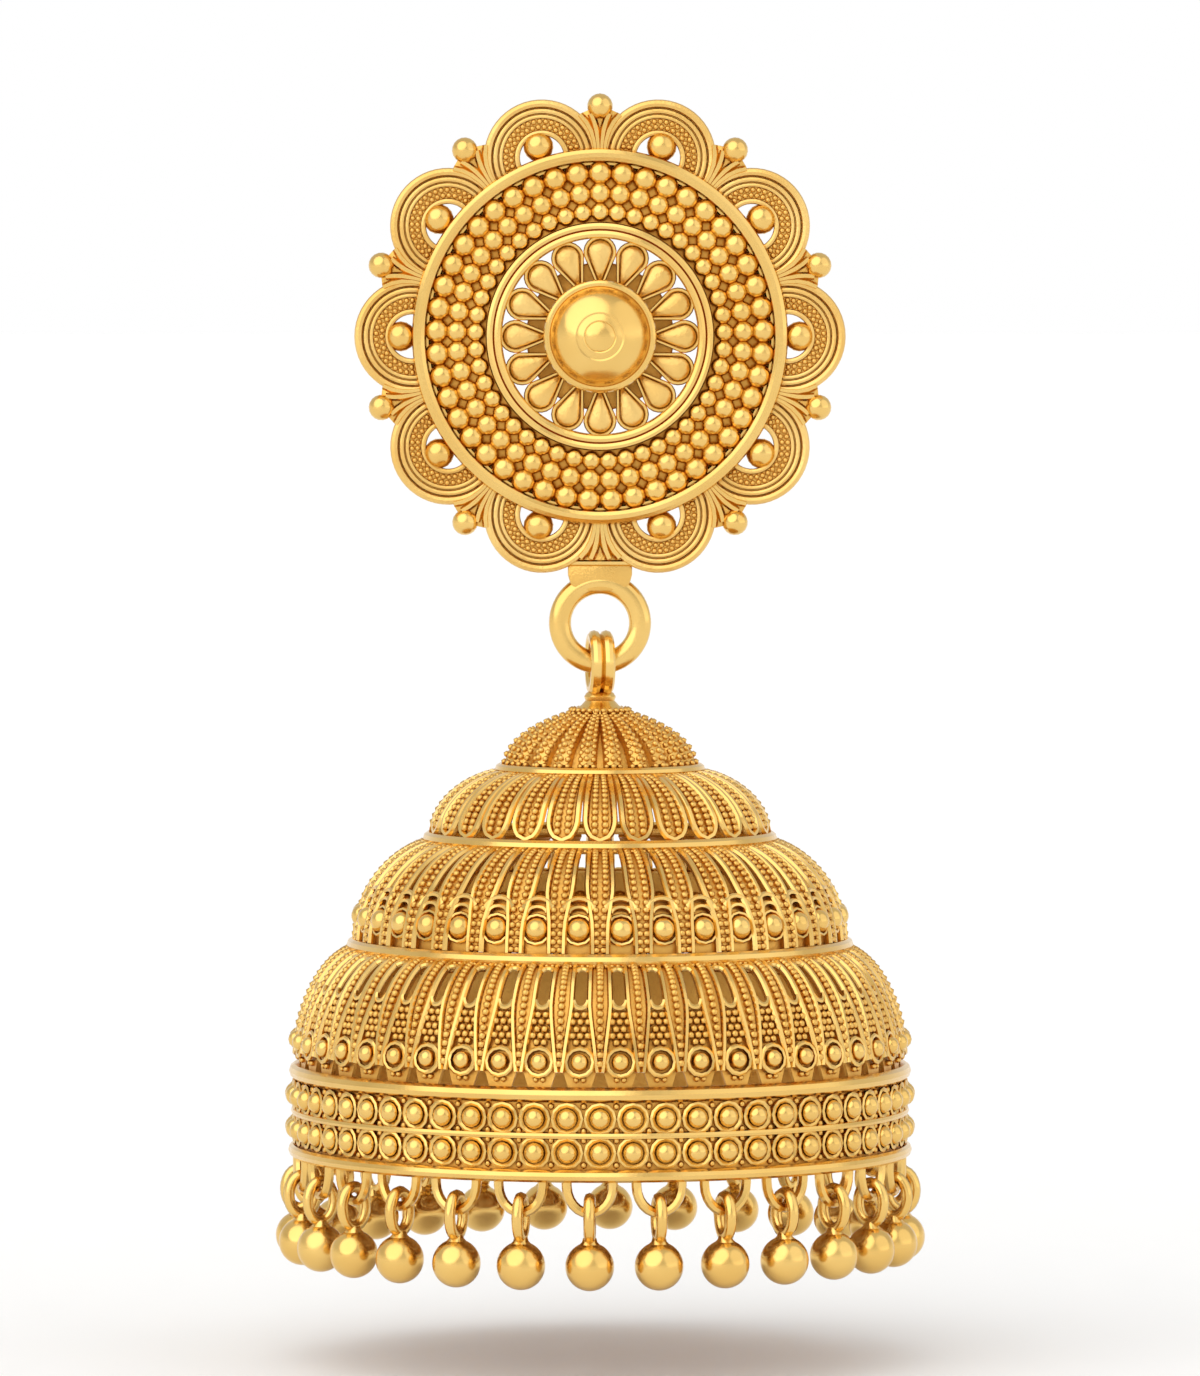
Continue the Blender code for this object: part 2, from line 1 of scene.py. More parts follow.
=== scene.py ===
"""Looks for the jhumka earring: pierced and granulated gold round the fixed frame.

Metres, +Z up. The stud's pieces are modelled lying flat, front up, and then stood up to face -Y.
The bell's pieces are modelled round its own axis and then moved to where it hangs.
"""

import math
from collections import namedtuple

import bpy
from mathutils import Matrix, Vector


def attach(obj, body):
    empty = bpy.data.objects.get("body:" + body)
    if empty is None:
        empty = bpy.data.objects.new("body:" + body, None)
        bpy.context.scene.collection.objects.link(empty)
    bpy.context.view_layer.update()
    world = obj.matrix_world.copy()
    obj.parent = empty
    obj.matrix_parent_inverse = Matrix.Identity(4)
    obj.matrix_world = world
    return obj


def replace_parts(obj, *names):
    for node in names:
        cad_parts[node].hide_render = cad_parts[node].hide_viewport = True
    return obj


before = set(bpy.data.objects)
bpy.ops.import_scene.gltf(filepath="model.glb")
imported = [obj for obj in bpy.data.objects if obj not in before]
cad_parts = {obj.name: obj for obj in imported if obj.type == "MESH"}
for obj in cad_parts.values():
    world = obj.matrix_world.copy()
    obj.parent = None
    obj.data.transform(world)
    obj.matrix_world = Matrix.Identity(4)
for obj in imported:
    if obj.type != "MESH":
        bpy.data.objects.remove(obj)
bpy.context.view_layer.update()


def mm(*lengths):
    """Lengths given in millimetres: one number, or several as a tuple."""
    metres = tuple(length / 1000 for length in lengths)
    return metres if len(metres) > 1 else metres[0]


# The bell hangs on its own upright axis, a little in front of the stud's back
HANGING_Y = mm(-0.45)
PIVOT_Z = mm(-14.75)

# Faces that meet at less than these angles, in degrees, are shaded as one curve
SHARP = 35
SHARP_BALL = 60
SHARP_GRAIN = 80

# Disc of the stud
RIM_OUTSIDE = mm(8.46)
DISC_EDGE = mm(8.2)
INNER_RING = mm(4.75)
DISC_CREST = mm(1.4)
DISC_DOME = mm(0.4)
FLOOR_DEPTH = mm(0.34)

# Wires of the stud: radius, height and half thickness
RIM_WIRE = mm(8.16, 1.14, 0.31)
RIM_THIN_WIRE = mm(7.78, 0.92, 0.10)
FLOWER_OUTER_WIRE = mm(4.97, 1.36, 0.18)
FLOWER_INNER_WIRE = mm(4.62, 1.36, 0.19)
BOSS_COLLAR = mm(2.34, 1.62, 0.20)

# The disc's bead rows: distance from the middle, and the radius of a bead
BEADS_ROUND = 45
BEAD_ROWS = (mm(7.36, 0.575), mm(6.45, 0.51), mm(5.60, 0.44))
BEAD_SINK = mm(0.27)

# Lobes. Each bends round a gap, whose centre is on the rim, and runs on behind the rim.
LOBE_COUNT = 10
LOBE_HALF_TURN = math.pi / LOBE_COUNT
SHEET_INSIDE, SHEET_OUTSIDE, SHEET_TOP = mm(1.02, 2.52, 0.82)
SHEET_OVERLAP = 14

# A lobe's wires: distance from its centre, height, half thickness, overlap in degrees, and steps
LOBE_WIRES = (
    (*mm(2.43, 0.93, 0.185), 14, 30),
    (*mm(2.10, 0.89, 0.125), 12, 26),
    (*mm(1.85, 0.87, 0.095), 11, 24),
    (*mm(1.12, 0.88, 0.130), 6, 20),
)
LOBE_GRAIN_ROWS = ((mm(1.63), 21), (mm(1.38), 18))
LOBE_GRAIN_RADIUS = mm(0.145)
LOBE_GRAIN_HEIGHT = mm(0.85)
LOBE_BALL_RADIUS = mm(0.68)
LOBE_BALL_CENTRE = mm(0, 8.98, 0.70)

# Notches: the ball, the leaf under it, and a fan's wires as (across, outwards)
NOTCH_REACH = mm(10.36)
NOTCH_BALL_RADIUS = mm(0.58)
NOTCH_BALL_HEIGHT = mm(0.9)
LEAF = (mm(0.45, 8.2), mm(0.55, 9.2), mm(0.85, 9.7), mm(0.95, 10.0), mm(0.50, 10.2))
FAN_HEIGHT = mm(1.0)
FAN_OUTER = (mm(0.20, 8.30), mm(0.27, 8.80), mm(0.40, 9.25), mm(0.62, 9.65), mm(0.90, 9.98))
FAN_INNER = (mm(0.06, 8.30), mm(0.10, 8.80), mm(0.16, 9.25), mm(0.26, 9.65), mm(0.42, 10.02))
FAN_TAPER = (0.7, 0.85, 1, 1, 0.9)

# Flower. A petal is round outside its centre and narrows to a tail inside it.
PETAL_COUNT = 16
PETAL_CENTRE = mm(3.80)
PETAL_HALF_WIDTH = mm(0.63)
PETAL_TAIL = mm(1.38)
PETAL_NARROWING = 0.72
PETAL_HEIGHT = mm(0.98)
PETAL_RISE = mm(0.36)
PETAL_WIRE_BEND = mm(0.66)
PETAL_WIRE_HEIGHT = mm(1.18)
PETAL_WIRE_RADIUS = mm(0.09)

# Hanger, as half widths from its foot up, and the ring below it
HANGER = (
    mm(1.05, -11.50),
    mm(1.34, -11.15),
    mm(1.45, -10.75),
    mm(1.45, -10.2),
    mm(0.9, -9.75),
    mm(0.5, -9.2),
    mm(0.5, -8.2),
)
RING_CENTRE = mm(-12.94)
RING_RADIUS = mm(1.81)
RING_HALF_WIDTH = mm(0.5)
RING_HALF_DEPTH = mm(0.43)
RING_FULLNESS = 0.75

# Tiers of the bell, each a quarter round. The lower its fullness, the rounder its shoulder.
Tier = namedtuple("Tier", "top_radius top_z foot_radius foot_z fullness ribs")
CROWN = Tier(*mm(0.75, -17.00, 3.97, -19.45), 1.90, 22)
UPPER = Tier(*mm(4.50, -19.75, 7.50, -22.50), 1.25, 28)
MIDDLE = Tier(*mm(7.70, -22.90, 11.00, -27.30), 1.25, 36)
LOWER = Tier(*mm(11.15, -27.75, 13.75, -33.10), 1.20, 48)
CROWN_RIB_RADIUS = mm(0.42)

# Sheet of the tiers: how far it lies off their middle surface, and its thickness
RIB_SHEET = {"lift": mm(-0.06), "wall": mm(0.22)}
SLOT_SHEET = {"lift": mm(-0.20), "wall": mm(0.16)}

# Plain wires round the bell: radius, height and half thickness
PLAIN_WIRES = (
    mm(4.50, -19.52, 0.25),
    mm(7.70, -22.65, 0.31),
    mm(11.14, -27.46, 0.32),
    mm(13.72, -33.15, 0.35),
    mm(13.82, -36.72, 0.29),
)

# Band
BAND_INSIDE, BAND_FACE = mm(13.25, 13.70)
BAND_TOP_Z, BAND_FOOT_Z = mm(-33.1, -36.80)
BAND_ROWS_Z = mm(-34.20, -35.70)
BAND_BEADS = 60
BAND_BEAD_RADIUS = mm(0.47)
BAND_BEAD_REACH = mm(13.80)
BAND_RING_RADIUS = mm(0.62)
BAND_RING_REACH = mm(13.82)
BAND_WIRE_REACH = mm(13.83)
BAND_GRAIN_REACH = mm(13.73)
BAND_GRAINS_Z = mm(-33.66, -34.74, -35.16, -36.24)

# Fringe
DROP_COUNT = 28
DROP_FIRST = math.radians(-1.9)
DROP_PITCH_RADIUS = mm(13.64)
LOOP_CENTRE_Z = mm(-37.14)
LOOP_HALF_WIDTH, LOOP_DROP = mm(1.01, 1.22)
LOOP_WIRE_RADIUS = mm(0.225)
LINK_CENTRE_Z = mm(-38.60)
LINK_HALF_WIDTH, LINK_HALF_HEIGHT = mm(0.62, 0.89)
LINK_WIRE_RADIUS = mm(0.26)
BALL_RADIUS = mm(1.075)
BALL_CENTRE_Z = mm(-40.705)

# Finishes: scales of the noises, depth of the fine relief, and rays that find a recess, where
# patina and painted shade darken the colour
DRIFT_SCALE = 260
RUB_SCALE = 900
FLOOR_SCALE = 400
RELIEF_DEPTH = mm(0.03)
HOLLOW_RAYS = 6

# Room
FLOOR_Z = mm(-46.3)
FLOOR_SIZE = 20
LENS = 246
CAMERA_PLACE = (0, -0.425, mm(2.1))
CAMERA_AIM = (0, 0, mm(-15.9))

# Sockets of the mix node that carry its share, its two colours and its result
MIX_SHARE, MIX_FIRST, MIX_SECOND, MIX_RESULT = 0, 6, 7, 2


# Shaping

def clear_selection():
    bpy.ops.object.select_all(action="DESELECT")


def select_only(item):
    clear_selection()
    item.select_set(True)
    bpy.context.view_layer.objects.active = item


def ball(radius, centre, segments, rings):
    bpy.ops.mesh.primitive_uv_sphere_add(
        segments=segments, ring_count=rings, radius=radius, location=centre,
    )
    return bpy.context.object


def grain(radius, centre):
    """A ball so small that a few faces are enough."""
    bpy.ops.mesh.primitive_ico_sphere_add(subdivisions=1, radius=radius, location=centre)
    return bpy.context.object


def hoop(radius, height, thickness, segments, sides=10):
    """A plain round wire lying flat."""
    bpy.ops.mesh.primitive_torus_add(
        major_radius=radius, minor_radius=thickness,
        major_segments=segments, minor_segments=sides, location=(0, 0, height),
    )
    return bpy.context.object


def apply_modifier(item, kind, **settings):
    select_only(item)
    modifier = item.modifiers.new(kind.lower(), kind)
    for key, value in settings.items():
        setattr(modifier, key, value)
    bpy.ops.object.modifier_apply(modifier=modifier.name)


def weld(item):
    """Closes the seams of a piece and turns its faces outwards."""
    select_only(item)
    bpy.ops.object.mode_set(mode="EDIT")
    bpy.ops.mesh.select_all(action="SELECT")
    bpy.ops.mesh.remove_doubles(threshold=mm(0.001))
    bpy.ops.mesh.normals_make_consistent(inside=False)
    bpy.ops.object.mode_set(mode="OBJECT")
    return item


def wire(points, radius, closed=False, taper=None, sides=6):
    """A round wire through the points. Taper gives the share of its radius at each."""
    curve = bpy.data.curves.new("wire", "CURVE")
    curve.dimensions = "3D"
    curve.bevel_depth = radius
    curve.bevel_resolution = (sides - 4) // 2
    curve.use_fill_caps = not closed
    spline = curve.splines.new("POLY")
    spline.points.add(len(points) - 1)
    for index, point in enumerate(points):
        spline.points[index].co = (*point, 1)
        spline.points[index].radius = taper[index] if taper else 1
    spline.use_cyclic_u = closed
    item = bpy.data.objects.new("wire", curve)
    bpy.context.collection.objects.link(item)
    select_only(item)
    bpy.ops.object.convert(target="MESH")
    return weld(bpy.context.object)


def turned(profile, steps, closed=False):
    """A circle at the first (radius, height), extruded and scaled to each of the others."""
    radius, height = profile[0]
    bpy.ops.mesh.primitive_circle_add(
        vertices=steps, radius=radius, location=(0, 0, height), fill_type="NOTHING",
    )
    item = bpy.context.object
    bpy.ops.object.transform_apply()
    bpy.ops.object.mode_set(mode="EDIT")
    for wider, higher in profile[1:]:
        bpy.ops.mesh.extrude_edges_move()
        bpy.ops.transform.translate(value=(0, 0, higher - height))
        share = wider / radius
        bpy.ops.transform.resize(value=(share, share, 1), center_override=(0, 0, higher))
        radius, height = wider, higher
    bpy.ops.mesh.select_all(action="SELECT")
    if closed:
        bpy.ops.mesh.region_to_loop()
        bpy.ops.mesh.bridge_edge_loops()
    else:
        bpy.ops.mesh.fill_holes(sides=0)
    bpy.ops.object.mode_set(mode="OBJECT")
    return weld(item)


def joined(name, items):
    """The items as one piece, with its place in its mesh."""
    clear_selection()
    for item in items:
        item.select_set(True)
    bpy.context.view_layer.objects.active = items[0]
    if len(items) > 1:
        bpy.ops.object.join()
    piece = bpy.context.object
    piece.name = name
    bpy.ops.object.transform_apply()
    return piece


def repeated(name, items, places):
    """The items joined, with a copy of them at each place, as one piece."""
    pattern = joined("pattern", items)
    copies = []
    for place in places:
        item = pattern.copy()
        item.data = pattern.data.copy()
        item.data.transform(place)
        bpy.context.collection.objects.link(item)
        copies.append(item)
    bpy.data.objects.remove(pattern)
    return joined(name, copies)


def turns(count, first=0.0):
    """Even turns round the upright axis."""
    return [Matrix.Rotation(first + 2 * math.pi * index / count, 4, "Z") for index in range(count)]


def polar(radius, angle, height=0.0):
    return Vector((radius * math.cos(angle), radius * math.sin(angle), height))


def arc(centre, radius, start, end, steps):
    """Points of a flat arc round centre, between two angles in degrees."""
    angles = [math.radians(start + (end - start) * step / steps) for step in range(steps + 1)]
    return [Vector(centre) + polar(radius, angle) for angle in angles]


def even(first, last, count):
    """Evenly spaced numbers, with both ends."""
    return [first + (last - first) * step / (count - 1) for step in range(count)]


def bend(half_width, half_height, start, end, count):
    """Places on an oval as (across, up), between two angles in degrees."""
    places = []
    for angle in even(start, end, count):
        turn = math.radians(angle)
        places.append((half_width * math.cos(turn), half_height * math.sin(turn)))
    return places


# Finishes

def link(tree, source, socket, target, name):
    tree.links.new(source.outputs[socket], target.inputs[name])


def noise(tree, place, scale, detail):
    texture = tree.nodes.new("ShaderNodeTexNoise")
    texture.inputs["Scale"].default_value = scale
    texture.inputs["Detail"].default_value = detail
    link(tree, place, "Object", texture, "Vector")
    return texture


def spread(tree, source, socket, low, high, start, end):
    """The source between start and end, stretched to low..high."""
    reach = tree.nodes.new("ShaderNodeMapRange")
    reach.inputs["From Min"].default_value = start
    reach.inputs["From Max"].default_value = end
    reach.inputs["To Min"].default_value = low
    reach.inputs["To Max"].default_value = high
    link(tree, source, socket, reach, "Value")
    return reach


def mixed(tree, share, first, second):
    """A mix of two colours, each a colour or a node that gives one."""
    mix = tree.nodes.new("ShaderNodeMix")
    mix.data_type = "RGBA"
    link(tree, share, "Result", mix, MIX_SHARE)
    for socket, colour in ((MIX_FIRST, first), (MIX_SECOND, second)):
        if isinstance(colour, tuple):
            mix.inputs[socket].default_value = (*colour, 1)
        else:
            tree.links.new(colour.outputs[MIX_RESULT], mix.inputs[socket])
    return mix


def gold(name, light, deep, patina_and_shade, reach, roughness, texture_scale, bump):
    """Gold whose tone drifts from light to deep, and darkens in recesses narrower than reach:
    partly the gold's patina, partly painted shade.
    """
    material = bpy.data.materials.new(name)
    material.use_nodes = True
    tree = material.node_tree
    shader = tree.nodes["Principled BSDF"]
    shader.inputs["Metallic"].default_value = 1
    place = tree.nodes.new("ShaderNodeTexCoord")
    drift = noise(tree, place, DRIFT_SCALE, detail=3)
    drifted = spread(tree, drift, "Fac", low=0, high=1, start=0.35, end=0.65)
    tone = mixed(tree, drifted, light, deep)
    # Recesses found by these rays take a darker colour: partly patina, partly painted shade
    hollow = tree.nodes.new("ShaderNodeAmbientOcclusion")
    hollow.samples = HOLLOW_RAYS
    hollow.inputs["Distance"].default_value = reach
    opened = spread(tree, hollow, "AO", low=0, high=1, start=0.15, end=0.75)
    patina_and_shade_tone = mixed(tree, opened, patina_and_shade, tone)
    tree.links.new(patina_and_shade_tone.outputs[MIX_RESULT], shader.inputs["Base Color"])
    rub = noise(tree, place, RUB_SCALE, detail=4)
    matt = spread(tree, rub, "Fac", low=roughness * 0.75, high=roughness * 1.3, start=0.3, end=0.7)
    link(tree, matt, "Result", shader, "Roughness")
    fine = noise(tree, place, texture_scale, detail=3)
    relief = tree.nodes.new("ShaderNodeBump")
    relief.inputs["Strength"].default_value = bump
    relief.inputs["Distance"].default_value = RELIEF_DEPTH
    link(tree, fine, "Fac", relief, "Height")
    link(tree, relief, "Normal", shader, "Normal")
    return material


satin = gold(
    "satin_gold", light=(0.80, 0.49, 0.135), deep=(0.74, 0.43, 0.105), patina_and_shade=(0.62, 0.32, 0.06),
    reach=mm(0.6), roughness=0.32, texture_scale=9000, bump=0.7,
)
bright = gold(
    "bright_gold", light=(0.84, 0.56, 0.18), deep=(0.79, 0.50, 0.145), patina_and_shade=(0.64, 0.34, 0.065),
    reach=mm(0.35), roughness=0.21, texture_scale=3500, bump=0.16,
)
frosted = gold(
    "frosted_gold", light=(0.86, 0.58, 0.20), deep=(0.77, 0.47, 0.13), patina_and_shade=(0.60, 0.31, 0.06),
    reach=mm(0.4), roughness=0.36, texture_scale=6500, bump=1.0,
)
# A darker copy of the gold for floors, backs and sheets under wires and grains: painted shade
shade_painted = gold(
    "shade_painted_gold", light=(0.74, 0.43, 0.105), deep=(0.65, 0.35, 0.075), patina_and_shade=(0.52, 0.24, 0.04),
    reach=mm(0.8), roughness=0.42, texture_scale=7000, bump=0.6,
)


def finished(piece, material, body, sharp):
    """Shades the piece, gives it its finish and hangs it on its body."""
    select_only(piece)
    bpy.ops.object.shade_smooth_by_angle(angle=math.radians(sharp))
    piece.data.materials.clear()
    piece.data.materials.append(material)
    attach(piece, body)
    return piece


def on_stud(piece, material, sharp=SHARP):
    """Stands a piece of the stud up, so that its front faces -Y."""
    piece.data.transform(Matrix.Rotation(math.pi / 2, 4, "X"))
    return finished(piece, material, "stud", sharp)


def on_bell(piece, material, sharp=SHARP):
    """Moves a piece of the bell to the bell's own axis."""
    piece.data.transform(Matrix.Translation((0, HANGING_Y, 0)))
    return finished(piece, material, "bell", sharp)


# Stud

def disc_height(radius):
    """Height of the disc's face, which rises from the rim to the flower."""
    share = (DISC_EDGE - radius) / (DISC_EDGE - INNER_RING)
    return DISC_CREST - DISC_DOME * (1 - math.sin(share * math.pi / 2))


def in_lobes(name, items, material, sharp=SHARP):
    """The items in each lobe."""
    on_stud(repeated(name, items, turns(LOBE_COUNT, LOBE_HALF_TURN)), material, sharp)


def in_notches(name, items, material, sharp=SHARP):
    """The items in every notch but the lowest, where the hanger is."""
    places = turns(LOBE_COUNT)
    del places[LOBE_COUNT // 2]
    on_stud(repeated(name, items, places), material, sharp)


def stud_disc():
    """The turned disc, with a floor that the bead rows sit on, and its flat back."""
    back = [mm(4.42, 0.05), mm(8.40, 0.0)]
    edge = [(RIM_OUTSIDE, mm(0.12)), (RIM_OUTSIDE, mm(1.05)), mm(7.94, 1.05)]
    face = [(radius, disc_height(radius) - FLOOR_DEPTH) for radius in mm(7.90, 6.97, 6.06, 4.98)]
    hole = [mm(4.94, 1.35), mm(4.56, 1.35), mm(4.50, 0.5), mm(4.42, 0.4)]
    disc = joined("stud_disc", [turned([*back, *edge, *face, *hole], steps=120, closed=True)])
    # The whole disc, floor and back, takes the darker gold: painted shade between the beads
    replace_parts(on_stud(disc, shade_painted), "stud")


def stud_wires():
    """The rim wire with a thin wire inside it, and the two wires round the flower."""
    wires = [
        hoop(*RIM_WIRE, segments=128),
        hoop(*RIM_THIN_WIRE, segments=128, sides=6),
        hoop(*FLOWER_OUTER_WIRE, segments=112, sides=8),
        hoop(*FLOWER_INNER_WIRE, segments=112, sides=8),
    ]
    on_stud(joined("stud_wires", wires), bright)


def disc_beads():
    """Three rows of beads, so close that each sinks a little into the next."""
    column = []
    for reach, radius in BEAD_ROWS:
        centre = (0, reach, disc_height(reach) - BEAD_SINK)
        column.append(ball(radius, centre, segments=16, rings=10))
    on_stud(repeated("disc_beads", column, turns(BEADS_ROUND)), bright, SHARP_BALL)


def lobe_sheets():
    """The arched sheet of each lobe: its cross section, spun round the lobe's gap."""
    bpy.ops.mesh.primitive_plane_add(size=1, location=(0, 0, 0))
    item = bpy.context.object
    start = math.radians(-SHEET_OVERLAP)
    corners = (
        (SHEET_INSIDE, 0),
        (SHEET_OUTSIDE, 0),
        (SHEET_INSIDE, SHEET_TOP),
        (SHEET_OUTSIDE, SHEET_TOP),
    )
    for vert, (reach, height) in zip(item.data.vertices, corners):
        vert.co = polar(reach, start, height)
    select_only(item)
    bpy.ops.object.mode_set(mode="EDIT")
    bpy.ops.mesh.select_all(action="SELECT")
    bpy.ops.mesh.spin(steps=28, angle=math.pi - 2 * start, center=(0, 0, 0), axis=(0, 0, -1))
    bpy.ops.object.mode_set(mode="OBJECT")
    item.data.transform(Matrix.Translation((0, RIM_OUTSIDE, 0)))
    in_lobes("lobe_sheets", [weld(item)], satin)


def lobe_wires():
    """The wire round each lobe, two thinner ones inside it and one round its gap."""
    wires = []
    for reach, height, thickness, overlap, steps in LOBE_WIRES:
        points = arc((0, RIM_OUTSIDE, height), reach, -overlap, 180 + overlap, steps)
        wires.append(wire(points, thickness, sides=8))
    in_lobes("lobe_wires", wires, frosted)


def lobe_grains():
    """Two rows of fine grains on each lobe's sheet."""
    grains = []
    for reach, steps in LOBE_GRAIN_ROWS:
        for point in arc((0, RIM_OUTSIDE, LOBE_GRAIN_HEIGHT), reach, -10, 190, steps):
            grains.append(grain(LOBE_GRAIN_RADIUS, point))
    in_lobes("lobe_grains", grains, satin, SHARP_GRAIN)


def lobe_balls():
    """The ball in each lobe's gap, soldered to the rim wire."""
    bead = ball(LOBE_BALL_RADIUS, LOBE_BALL_CENTRE, segments=16, rings=10)
    in_lobes("lobe_balls", [bead], bright, SHARP_BALL)


def flat_plate(outline, low, high, bevel):
    """A plate with the outline given by half widths along it, from its foot to its head."""
    bpy.ops.mesh.primitive_grid_add(x_subdivisions=1, y_subdivisions=len(outline) - 1, size=2)
    plate = bpy.context.object
    in_rows = sorted(plate.data.vertices, key=lambda vert: (vert.co.y, vert.co.x))
    for index, vert in enumerate(in_rows):
        half, along = outline[index // 2]
        vert.co = (math.copysign(half, vert.co.x), along, high)
    apply_modifier(plate, "SOLIDIFY", thickness=high - low, offset=-1)
    apply_modifier(plate, "BEVEL", width=bevel, segments=2)
    return weld(plate)


def fan(direction, radius):
    """Four wires that spread from the rim into a notch."""
    wires = []
    for side, line in ((-1, FAN_OUTER), (1, FAN_OUTER), (-1, FAN_INNER), (1, FAN_INNER)):
        points = [(side * across, direction * along, FAN_HEIGHT) for across, along in line]
        wires.append(wire(points, radius, taper=FAN_TAPER))
    return wires


def finials():
    """A ball in each notch, on a fan of wires over a leaf that widens outwards."""
    bead = ball(NOTCH_BALL_RADIUS, (0, NOTCH_REACH, NOTCH_BALL_HEIGHT), segments=18, rings=12)
    in_notches("finial_balls", [bead], bright, SHARP_BALL)
    in_notches("finial_fans", fan(1, mm(0.17)), bright)
    leaf = flat_plate(LEAF, low=mm(0.08), high=mm(0.92), bevel=mm(0.07))
    in_notches("finial_leaves", [leaf], satin)


def flower():
    """Domed petals, each in a wire, pointed at the boss and round at the ring."""
    petal = ball(1, (0, 0, 0), segments=16, rings=10)
    for vert in petal.data.vertices:
        across, along, up = vert.co
        narrow = 1 + PETAL_NARROWING * min(along, 0)
        reach = along * (PETAL_HALF_WIDTH if along > 0 else PETAL_TAIL)
        vert.co = (
            across * narrow * PETAL_HALF_WIDTH,
            PETAL_CENTRE + reach,
            PETAL_HEIGHT + up * PETAL_RISE,
        )
    on_stud(repeated("petals", [petal], turns(PETAL_COUNT)), frosted, SHARP_BALL)
    head = arc((0, PETAL_CENTRE, PETAL_WIRE_HEIGHT), PETAL_WIRE_BEND, -12, 192, 12)
    root = [Vector(mm(side * 0.17, 2.50, 1.10)) for side in (-1, 1)]
    edge = wire([*head, *root], PETAL_WIRE_RADIUS, closed=True)
    on_stud(repeated("petal_wires", [edge], turns(PETAL_COUNT)), bright)


def boss():
    """The polished dome on its collar, with a low button in a ring groove, over a plate painted
    dark as shade.
    """
    plate = [mm(3.28, 0.06), mm(3.34, 0.12), mm(3.34, 0.42), mm(3.26, 0.50), mm(2.20, 0.50)]
    on_stud(joined("boss_plate", [turned(plate, steps=72)]), shade_painted)
    profile = [
        mm(2.30, 0.40),
        mm(2.28, 1.66),
        mm(2.22, 1.90),
        mm(2.08, 2.22),
        mm(1.82, 2.54),
        mm(1.44, 2.82),
        mm(1.10, 2.96),
        mm(1.02, 2.94),
        mm(0.96, 2.98),
        mm(0.74, 3.05),
        mm(0.68, 3.02),
        mm(0.60, 3.09),
        mm(0.34, 3.16),
        mm(0.06, 3.19),
    ]
    on_stud(joined("boss", [turned(profile, steps=72)]), bright)
    on_stud(joined("boss_collar", [hoop(*BOSS_COLLAR, segments=72)]), bright)


def hanger():
    """The tab between the two lowest lobes, with a fan and a cross wire over it."""
    tab = flat_plate(HANGER, low=mm(0.06), high=mm(0.86), bevel=mm(0.09))
    on_stud(joined("hanger_tab", [tab]), satin)
    bars = fan(-1, mm(0.19))
    bars.append(wire([mm(-1.36, -10.22, 0.86), mm(1.36, -10.22, 0.86)], mm(0.14)))
    on_stud(joined("hanger_wires", bars), bright)


def hanging_ring():
    """The ring that the bell hangs on, with a low crown at its front and back."""
    ring = hoop(RING_RADIUS, 0, RING_HALF_WIDTH, segments=72, sides=16)
    for vert in ring.data.vertices:
        share = min(abs(vert.co.z) / RING_HALF_WIDTH, 1)
        vert.co.z = math.copysign(RING_HALF_DEPTH * share ** RING_FULLNESS, vert.co.z)
    ring.data.transform(Matrix.Translation((0, RING_CENTRE, -HANGING_Y)))
    on_stud(joined("hanging_ring", [ring]), bright)


# Bell

def profile_point(tier, down):
    """Radius and height at an angle, in degrees, down a tier's quarter round."""
    out = math.sin(math.radians(down)) ** tier.fullness
    fall = 1 - math.cos(math.radians(down))
    radius = tier.top_radius + (tier.foot_radius - tier.top_radius) * out
    return radius, tier.top_z + (tier.foot_z - tier.top_z) * fall


def on_tier(tier, down, angle, lift):
    """A point on a tier, so far down and round it, and lifted off its middle surface."""
    radius, height = profile_point(tier, down)
    before = profile_point(tier, down - 1) if down > 1 else (radius, height)
    after = profile_point(tier, down + 1)
    along = Vector((after[0] - before[0], after[1] - before[1])).normalized()
    return polar(radius - lift * along.y, angle, height + lift * along.x)


def near(tier, down, across, up, lift=0.0):
    """A point beside a place on a tier, in metres across it and up it."""
    radius, height = profile_point(tier, down)
    after = profile_point(tier, down + 1)
    step = math.hypot(after[0] - radius, after[1] - height)
    return on_tier(tier, down - up / step, across / radius, lift)


def strip(tier, top, foot, width, lift, wall, rows):
    """A strip of sheet on a tier. Width gives the angle to each of its sides, so far down."""
    bpy.ops.mesh.primitive_grid_add(x_subdivisions=2, y_subdivisions=rows, size=2)
    item = bpy.context.object
    for vert in item.data.vertices:
        down = top + (foot - top) * (1 - vert.co.y) / 2
        vert.co = on_tier(tier, down, vert.co.x * width(down), lift)
    apply_modifier(item, "SOLIDIFY", thickness=wall, offset=0)
    return weld(item)


def rails(tier, top, foot, width, side, radius, lift, count):
    """A wire down both sides of a strip."""
    lines = []
    for edge in (-side, side):
        points = [on_tier(tier, down, edge * width(down), lift) for down in even(top, foot, count)]
        lines.append(wire(points, radius))
    return lines


def columns(tier, top, foot, width, sides, radius, lift, count, growth=0.0):
    """Columns of grains down a tier, which may grow on the way."""
    grains = []
    for side in sides:
        for index, down in enumerate(even(top, foot, count)):
            size = radius * (1 + growth * index / count)
            grains.append(grain(size, on_tier(tier, down, side * width(down), lift)))
    return grains


def eye(tier, down, half_width, half_height, start, end, thickness, lift):
    """A bent wire round a place on a tier, between two angles in degrees. A full turn closes it."""
    count = 12
    closed = end - start == 360
    last = end - 360 / count if closed else end
    places = bend(half_width, half_height, start, last, count)
    points = [near(tier, down, across, up, lift) for across, up in places]
    return wire(points, thickness, closed=closed)


def at_ribs(name, items, tier, material, sharp=SHARP):
    """The items at each rib of a tier."""
    on_bell(repeated(name, items, turns(tier.ribs)), material, sharp)


def at_slots(name, items, tier, material, sharp=SHARP):
    """The items at each slot of a tier, which lies midway between two ribs."""
    on_bell(repeated(name, items, turns(tier.ribs, math.pi / tier.ribs)), material, sharp)


